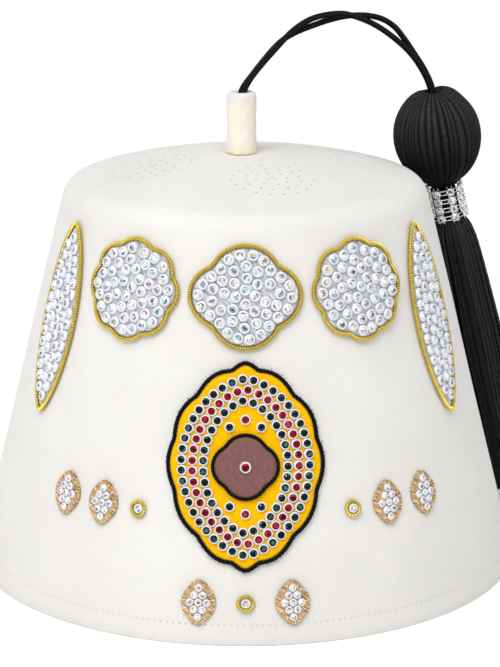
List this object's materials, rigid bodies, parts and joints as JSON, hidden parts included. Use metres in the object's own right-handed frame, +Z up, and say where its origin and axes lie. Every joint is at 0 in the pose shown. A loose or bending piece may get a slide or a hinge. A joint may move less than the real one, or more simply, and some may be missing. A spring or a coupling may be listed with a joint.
{
  "type": "fez",
  "caption": "White felt fez, a hollow truncated cone with crystal patches on its side and a black tassel hung on an arched pair of cords from a stem on the crown.",
  "frame": {"origin": "middle of the rim, in the plane that the hat rests on", "axes": "+Z up along the cap's axis, -Y towards the medallion at the front, the tassel towards +X and a little back"},
  "size_m": [0.2022, 0.19, 0.1905],
  "materials": {
    "white_felt": "brushed wool felt",
    "cream_felt": "dense cream felt",
    "black_yarn": "braided and knitted rayon",
    "silver_crystal": "silver wire mesh with cut crystals",
    "clear_stones": "iridescent clear stones in white cups",
    "coloured_stones": "red and green stones in white cups",
    "gold_purl": "coiled gold bullion wire",
    "yellow_satin": "yellow satin stitch",
    "brown_satin": "mauve-brown satin",
    "black_edge_cord": "twisted black cord",
    "gold_backing": "tan backing with gold thread"
  },
  "bodies": {
    "root": {"felt_cap": "white_felt", "crown_stem": "cream_felt", "hanging_cord_front": "black_yarn", "hanging_cord_back": "black_yarn", "tassel_ball": "black_yarn", "crystal_collar": "silver_crystal", "tassel_skirt": "black_yarn", "leaf_patch_left": "clear_stones", "leaf_edging_left": "gold_purl", "rosette_patch_left": "clear_stones", "rosette_edging_left": "gold_purl", "quatrefoil_patch_front": "clear_stones", "quatrefoil_edging_front": "gold_purl", "rosette_patch_right": "clear_stones", "rosette_edging_right": "gold_purl", "leaf_patch_right": "clear_stones", "leaf_edging_right": "gold_purl", "medallion_ground": "yellow_satin", "medallion_border": "black_edge_cord", "medallion_stones": "coloured_stones", "medallion_middle": "brown_satin", "middle_border": "black_edge_cord", "floret_left_inner": "gold_backing", "floret_left_outer": "gold_backing", "floret_left_lower": "gold_backing", "floret_right_inner": "gold_backing", "floret_right_outer": "gold_backing", "floret_right_lower": "gold_backing", "button_left": "gold_purl", "button_right": "gold_purl", "button_front": "gold_purl"}
  },
  "joints": []
}
